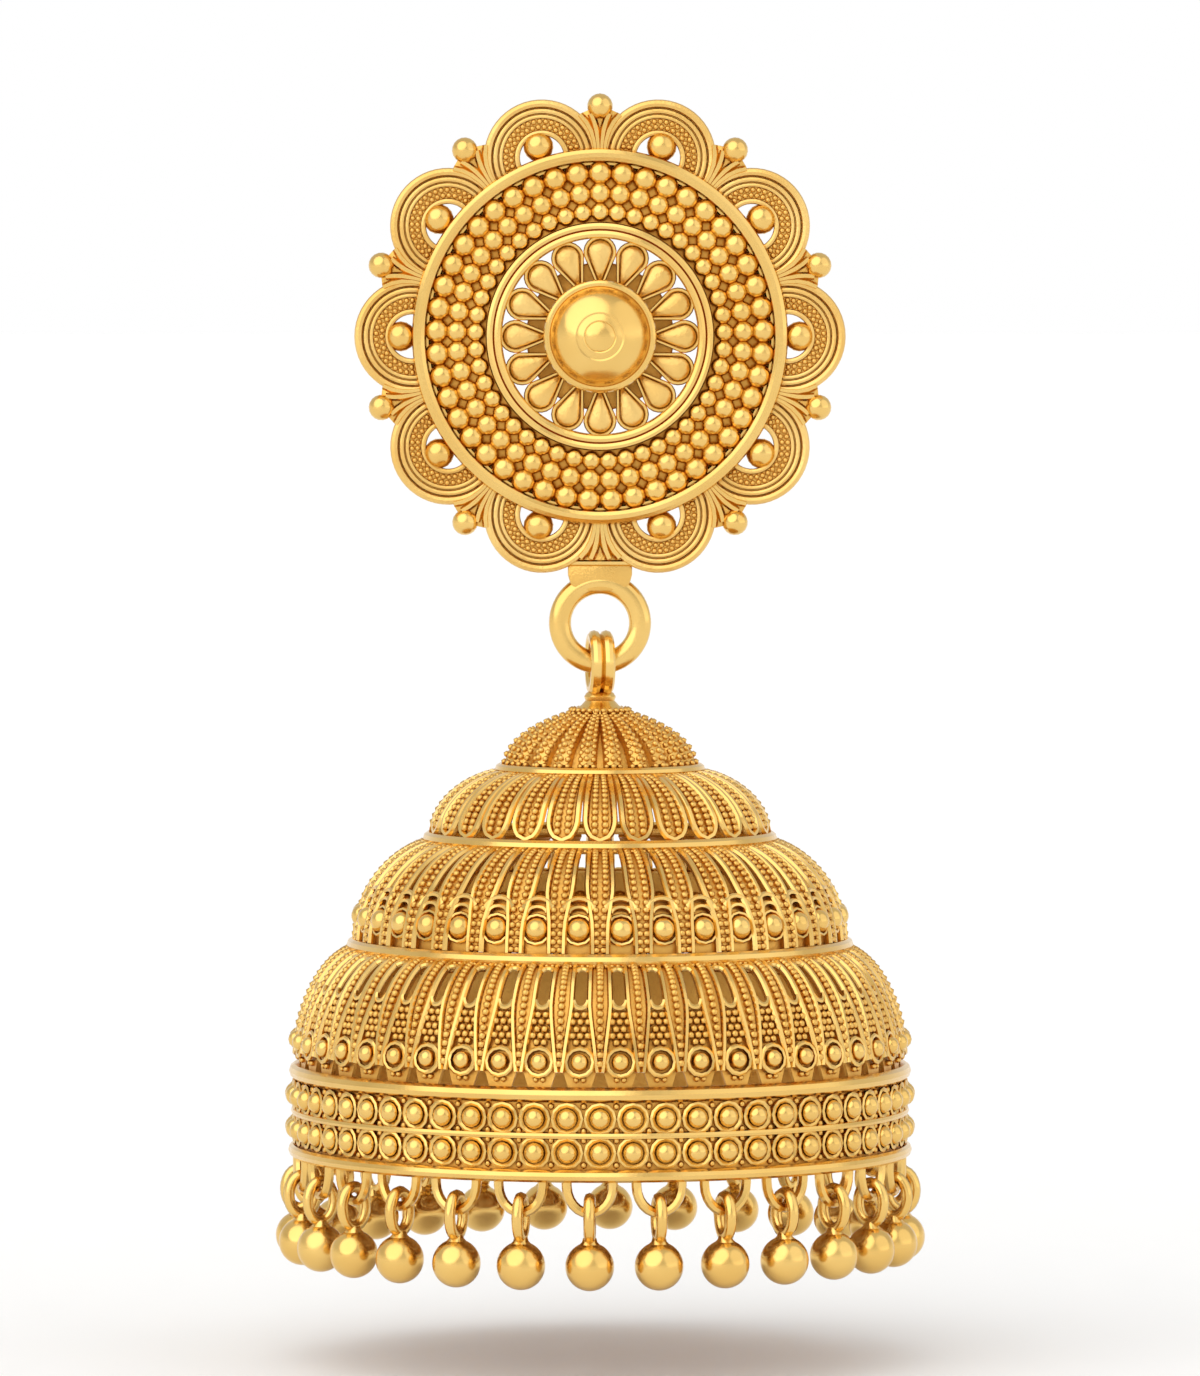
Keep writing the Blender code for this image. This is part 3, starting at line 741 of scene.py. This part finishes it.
def crown():
    """Fat ribs with three columns of grains each, over a closed cap."""
    shell = [profile_point(CROWN, down) for down in even(2, 90, 12)]
    outer = [(radius, height - mm(0.08)) for radius, height in shell]
    inner = [(max(radius - mm(0.25), mm(0.3)), height - mm(0.4)) for radius, height in shell[::-1]]
    cap = turned([mm(0.3, -17.12), *outer, *inner], steps=88, closed=True)
    # The cap under the ribs takes the darker gold: painted shade
    on_bell(joined("crown_cap", [cap]), shade_painted)

    def thickness(down):
        return CROWN_RIB_RADIUS * (0.32 + 0.68 * math.sin(math.radians(down)))

    steps = even(3, 86, 9)
    points = [on_tier(CROWN, down, 0, mm(-0.05)) for down in steps]
    taper = [thickness(down) / CROWN_RIB_RADIUS for down in steps]
    at_ribs("crown_ribs", [wire(points, CROWN_RIB_RADIUS, taper=taper, sides=8)], CROWN, satin)
    grains = []
    for side, share in ((0, 0.90), (-0.070, 0.52), (0.070, 0.52)):
        for down in even(12, 86, 13):
            point = on_tier(CROWN, down, side, thickness(down) * share)
            grains.append(grain(mm(0.09) + thickness(down) * 0.16, point))
    at_ribs("crown_grains", grains, CROWN, satin, SHARP_GRAIN)


def upper_tier():
    """Panels with round feet, each edged by one bent wire, with dark slots between them."""
    wide = 0.78 * math.pi / UPPER.ribs
    top, foot, rounding = 4, 87, 68
    lift = mm(0.10)

    def width(down):
        past = max(down - rounding, 0) / (foot - rounding)
        return wide * math.sqrt(max(1 - past * past, 0.0))

    panel = strip(UPPER, top, foot - 0.5, width, rows=14, **RIB_SHEET)
    # The panel sheet under the wire and grains takes the darker gold: painted shade
    at_ribs("upper_panels", [panel], UPPER, shade_painted)
    sides = [*even(top, rounding, 9), *even(rounding + 3, foot, 6)]
    left = [on_tier(UPPER, down, -width(down), lift) for down in sides]
    right = [on_tier(UPPER, down, width(down), lift) for down in reversed(sides[:-1])]
    at_ribs("upper_wires", [wire([*left, *right], mm(0.15))], UPPER, bright)
    grains = columns(
        UPPER, 8, 79, lambda down: wide, sides=(-0.36, 0.36),
        radius=mm(0.15), lift=lift, count=13, growth=0.35,
    )
    at_ribs("upper_grains", grains, UPPER, satin, SHARP_GRAIN)


def middle_tier():
    """Ribs with two columns of grains, and slots with two crescents over a ball in a ring."""
    half = math.pi / MIDDLE.ribs
    top, foot, seat = 4, 88, 74.2

    def width(down):
        """Narrows a little on its way down, and fast between 50 and 72 degrees."""
        return half * (0.76 - 0.05 * down / 50 - 0.30 * min(max(down - 50, 0) / 22, 1))

    def back_width(down):
        return (half - width(down)) * 1.1

    rib = strip(MIDDLE, top, foot, width, rows=14, **RIB_SHEET)
    # The rib sheet under the rails and grains takes the darker gold: painted shade
    at_ribs("middle_ribs", [rib], MIDDLE, shade_painted)
    lines = rails(MIDDLE, top, foot, width, side=0.90, radius=mm(0.13), lift=mm(0.09), count=15)
    at_ribs("middle_wires", lines, MIDDLE, bright)
    grains = columns(
        MIDDLE, 7, 86, width, sides=(-0.38, 0.38), radius=mm(0.175), lift=mm(0.09), count=18,
    )
    at_ribs("middle_grains", grains, MIDDLE, satin, SHARP_GRAIN)
    # The sheet behind each slot takes the darker gold: painted shade in the opening
    back = strip(MIDDLE, 54, 89, back_width, rows=6, **SLOT_SHEET)
    at_slots("middle_slot_backs", [back], MIDDLE, shade_painted)
    bead = ball(mm(0.53), on_tier(MIDDLE, seat, 0, mm(-0.10)), segments=14, rings=9)
    at_slots("middle_balls", [bead], MIDDLE, bright, SHARP_BALL)
    arches = [
        eye(MIDDLE, seat, *mm(0.66, 0.66), 0, 360, *mm(0.09, 0.02)),
        eye(MIDDLE, 64, *mm(0.70, 0.66), 8, 172, *mm(0.12, 0.10)),
        eye(MIDDLE, 65, *mm(0.46, 0.34), 8, 172, *mm(0.11, 0.06)),
    ]
    at_slots("middle_arches", arches, MIDDLE, bright)


def lower_tier():
    """Narrow ribs, with an open eye, a cluster of grains and a ball in a ring down each slot."""
    half = math.pi / LOWER.ribs
    top, foot, seat = 4, 80, 75.2

    def width(down):
        """Even to 48 degrees down, then narrower to the foot."""
        return half * (0.62 - 0.46 * max(down - 48, 0) / 32)

    def back_width(down):
        """As wide as the slot, with a narrower foot under the ball."""
        return half * (0.98 - 0.40 * max(down - 75, 0) / 12)

    rib = strip(LOWER, top, foot, width, rows=12, **RIB_SHEET)
    # The rib sheet under the rails and grains takes the darker gold: painted shade
    at_ribs("lower_ribs", [rib], LOWER, shade_painted)
    lines = rails(LOWER, top, foot, width, side=0.86, radius=mm(0.125), lift=mm(0.09), count=12)
    at_ribs("lower_wires", lines, LOWER, bright)
    grains = columns(
        LOWER, 7, 76, width, sides=(0,), radius=mm(0.195), lift=mm(0.10), count=17,
    )
    at_ribs("lower_grains", grains, LOWER, satin, SHARP_GRAIN)
    # The sheet behind each slot takes the darker gold: painted shade in the opening
    back = strip(LOWER, 47, 90, back_width, rows=14, **SLOT_SHEET)
    at_slots("lower_slot_backs", [back], LOWER, shade_painted)
    cluster = []
    pair, three = mm(-0.17, 0.17), mm(-0.34, 0, 0.34)
    for down, row in ((50.5, pair), (54.5, three), (58.5, pair), (62.0, three), (65.5, pair)):
        cluster += [grain(mm(0.19), near(LOWER, down, across, 0)) for across in row]
    for across in mm(-0.16, 0.16):
        cluster.append(grain(mm(0.15), near(LOWER, 83.5, across, 0, mm(-0.06))))
    at_slots("lower_clusters", cluster, LOWER, satin, SHARP_GRAIN)
    rings = [
        eye(LOWER, seat, *mm(0.60, 0.60), 0, 360, *mm(0.105, 0.10)),
        eye(LOWER, 41, *mm(0.33, 0.42), 190, 350, *mm(0.11, 0.08)),
        eye(LOWER, 18, *mm(0.30, 0.34), 10, 170, *mm(0.11, 0.08)),
    ]
    at_slots("lower_rings", rings, LOWER, bright)
    bead = ball(mm(0.40), on_tier(LOWER, seat, 0, mm(0.08)), segments=10, rings=6)
    at_slots("lower_balls", [bead], LOWER, bright, SHARP_BALL)


def plain_wires():
    """The polished wires between the tiers and at the band's foot."""
    hoops = [hoop(*sizes, segments=128) for sizes in PLAIN_WIRES]
    on_bell(joined("plain_wires", hoops), bright)


def wire_grains():
    """A row of fine grains under each of the upper three wires."""
    rows = (("first", UPPER, 118), ("second", MIDDLE, 190), ("third", LOWER, 272))
    for name, tier, count in rows:
        seed = grain(mm(0.12), on_tier(tier, 6, 0, mm(0.10)))
        row = repeated(f"{name}_wire_grains", [seed], turns(count))
        on_bell(row, satin, SHARP_GRAIN)


def band():
    """The band's wall, two rows of beads in rings, a wire between them and grains in the gaps."""
    profile = [
        (BAND_INSIDE, BAND_TOP_Z),
        (BAND_FACE, BAND_TOP_Z),
        (BAND_FACE, BAND_FOOT_Z),
        (BAND_INSIDE, BAND_FOOT_Z),
    ]
    wall = joined("band_wall", [turned(profile, steps=112, closed=True)])
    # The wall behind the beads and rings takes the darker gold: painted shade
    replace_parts(on_bell(wall, shade_painted), "bell")
    beads = []
    rings = []
    for height in BAND_ROWS_Z:
        beads.append(ball(BAND_BEAD_RADIUS, (BAND_BEAD_REACH, 0, height), segments=14, rings=9))
        places = bend(BAND_RING_RADIUS, BAND_RING_RADIUS, 0, 330, 12)
        points = [(BAND_RING_REACH, across, height + up) for across, up in places]
        rings.append(wire(points, mm(0.11), closed=True))
    on_bell(repeated("band_beads", beads, turns(BAND_BEADS)), bright, SHARP_BALL)
    on_bell(repeated("band_rings", rings, turns(BAND_BEADS)), bright)
    middle = hoop(BAND_WIRE_REACH, sum(BAND_ROWS_Z) / 2, mm(0.16), segments=128, sides=8)
    on_bell(joined("band_wire", [middle]), bright)
    between = [grain(mm(0.17), (BAND_GRAIN_REACH, 0, height)) for height in BAND_GRAINS_Z]
    gaps = turns(BAND_BEADS, math.pi / BAND_BEADS)
    on_bell(repeated("band_grains", between, gaps), satin, SHARP_GRAIN)


def bail_and_collar():
    """A loop of two wires side by side round the stud's ring, on a flared collar."""
    turn = Matrix.Translation((0, 0, PIVOT_Z)) @ Matrix.Rotation(math.radians(7), 4, "Z")
    loops = []
    for side in mm(-0.27, 0.27):
        loop = hoop(mm(1.20), side, mm(0.29), segments=48, sides=10)
        bpy.ops.object.transform_apply()
        loop.data.transform(turn @ Matrix.Rotation(math.pi / 2, 4, "Y"))
        loops.append(loop)
    on_bell(joined("bail", loops), bright)
    profile = [
        mm(0.02, -15.98),
        mm(0.46, -16.00),
        mm(0.62, -16.10),
        mm(0.72, -16.26),
        mm(0.66, -16.44),
        mm(0.86, -16.66),
        mm(1.18, -16.84),
        mm(1.30, -17.02),
        mm(0.02, -17.1),
    ]
    on_bell(joined("bail_collar", [turned(profile, steps=40)]), bright)
    seed = grain(mm(0.15), mm(1.30, 0, -16.86))
    on_bell(repeated("collar_grains", [seed], turns(26)), satin, SHARP_GRAIN)


def fringe_turns():
    return turns(DROP_COUNT, DROP_FIRST)


def rim_loops():
    """The bent wire under the band that each drop hangs on."""
    places = bend(LOOP_HALF_WIDTH, LOOP_DROP, 180, 360, 13)
    points = [(across, -DROP_PITCH_RADIUS, LOOP_CENTRE_Z + up) for across, up in places]
    ends = [Vector((x, y, z + mm(0.5))) for x, y, z in (points[0], points[-1])]
    loop = wire([ends[0], *points, ends[1]], LOOP_WIRE_RADIUS, sides=8)
    on_bell(repeated("rim_loops", [loop], fringe_turns()), bright)


def drops():
    """A polished ball under an oval link, with a short neck between them."""
    places = bend(LINK_HALF_WIDTH, LINK_HALF_HEIGHT, 0, 345, 24)
    points = [(0, -DROP_PITCH_RADIUS + across, LINK_CENTRE_Z + up) for across, up in places]
    profile = [
        mm(0.02, -39.45),
        mm(0.30, -39.45),
        mm(0.34, -39.62),
        mm(0.52, -39.80),
        mm(0.02, -39.9),
    ]
    neck = turned(profile, steps=20)
    neck.data.transform(Matrix.Translation((0, -DROP_PITCH_RADIUS, 0)))
    head = ball(BALL_RADIUS, (0, -DROP_PITCH_RADIUS, BALL_CENTRE_Z), segments=32, rings=20)
    oval = wire(points, LINK_WIRE_RADIUS, closed=True, sides=8)
    pattern = joined("drop", [head, oval, neck])
    for number, turn in enumerate(fringe_turns(), 1):
        drop = pattern.copy()
        drop.data = pattern.data.copy()
        drop.data.transform(turn)
        bpy.context.collection.objects.link(drop)
        drop.name = f"fringe_drop_{number:02d}"
        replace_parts(on_bell(drop, bright, SHARP_BALL), f"drop_{number:02d}")
    bpy.data.objects.remove(pattern)


def ear_post():
    """The CAD post keeps its shape and takes the polished finish."""
    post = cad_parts["ear_post"]
    post.data.materials.clear()
    post.data.materials.append(bright)


# Room

def floor():
    """A wide pale floor."""
    bpy.ops.mesh.primitive_plane_add(size=FLOOR_SIZE, location=(0, 0, FLOOR_Z))
    item = bpy.context.object
    item.name = "floor"
    material = bpy.data.materials.new("pale_floor")
    material.use_nodes = True
    tree = material.node_tree
    shader = tree.nodes["Principled BSDF"]
    shader.inputs["Base Color"].default_value = (0.96, 0.96, 0.96, 1)
    place = tree.nodes.new("ShaderNodeTexCoord")
    patches = noise(tree, place, FLOOR_SCALE, detail=3)
    matt = spread(tree, patches, "Fac", low=0.55, high=0.75, start=0.3, end=0.7)
    link(tree, matt, "Result", shader, "Roughness")
    item.data.materials.append(material)


def soft_light(name, direction, width, strength, colour):
    """A broad light that shines from a direction, as wide as so many degrees of sky."""
    light = bpy.data.lights.new(name, "SUN")
    light.angle = math.radians(width)
    light.energy = strength
    light.color = colour
    lamp = bpy.data.objects.new(name, light)
    bpy.context.collection.objects.link(lamp)
    lamp.rotation_euler = Vector(direction).to_track_quat("Z", "Y").to_euler()


def studio():
    """A room that is white at the horizon and dimmer above, with a broad key light and a fill."""
    soft_light("key", (-0.55, -0.75, 0.85), width=80, strength=1.5, colour=(1.0, 0.985, 0.95))
    soft_light("fill", (0.90, -0.35, 0.50), width=70, strength=0.5, colour=(1.0, 1.0, 1.0))
    world = bpy.data.worlds.new("studio")
    world.use_nodes = True
    tree = world.node_tree
    background = tree.nodes["Background"]
    background.inputs["Color"].default_value = (1, 1, 1, 1)
    place = tree.nodes.new("ShaderNodeTexCoord")
    direction = tree.nodes.new("ShaderNodeSeparateXYZ")
    link(tree, place, "Generated", direction, "Vector")
    sky = spread(tree, direction, "Z", low=1.0, high=0.70, start=0.06, end=0.30)
    link(tree, sky, "Result", background, "Strength")
    bpy.context.scene.world = world
    bpy.context.scene.view_settings.view_transform = "Standard"


def camera():
    """Level with the stud, straight in front, as far off as the photograph's perspective says."""
    lens = bpy.data.cameras.new("camera")
    lens.lens = LENS
    lens.clip_start = 0.01
    lens.clip_end = 50
    viewer = bpy.data.objects.new("camera", lens)
    bpy.context.collection.objects.link(viewer)
    viewer.location = CAMERA_PLACE
    aim = Vector(CAMERA_AIM) - viewer.location
    viewer.rotation_euler = aim.to_track_quat("-Z", "Y").to_euler()
    bpy.context.scene.camera = viewer


clear_selection()
camera()
studio()
floor()
stud_disc()
stud_wires()
disc_beads()
lobe_sheets()
lobe_wires()
lobe_grains()
lobe_balls()
finials()
flower()
boss()
hanger()
hanging_ring()
ear_post()
crown()
upper_tier()
middle_tier()
lower_tier()
plain_wires()
wire_grains()
band()
bail_and_collar()
rim_loops()
drops()
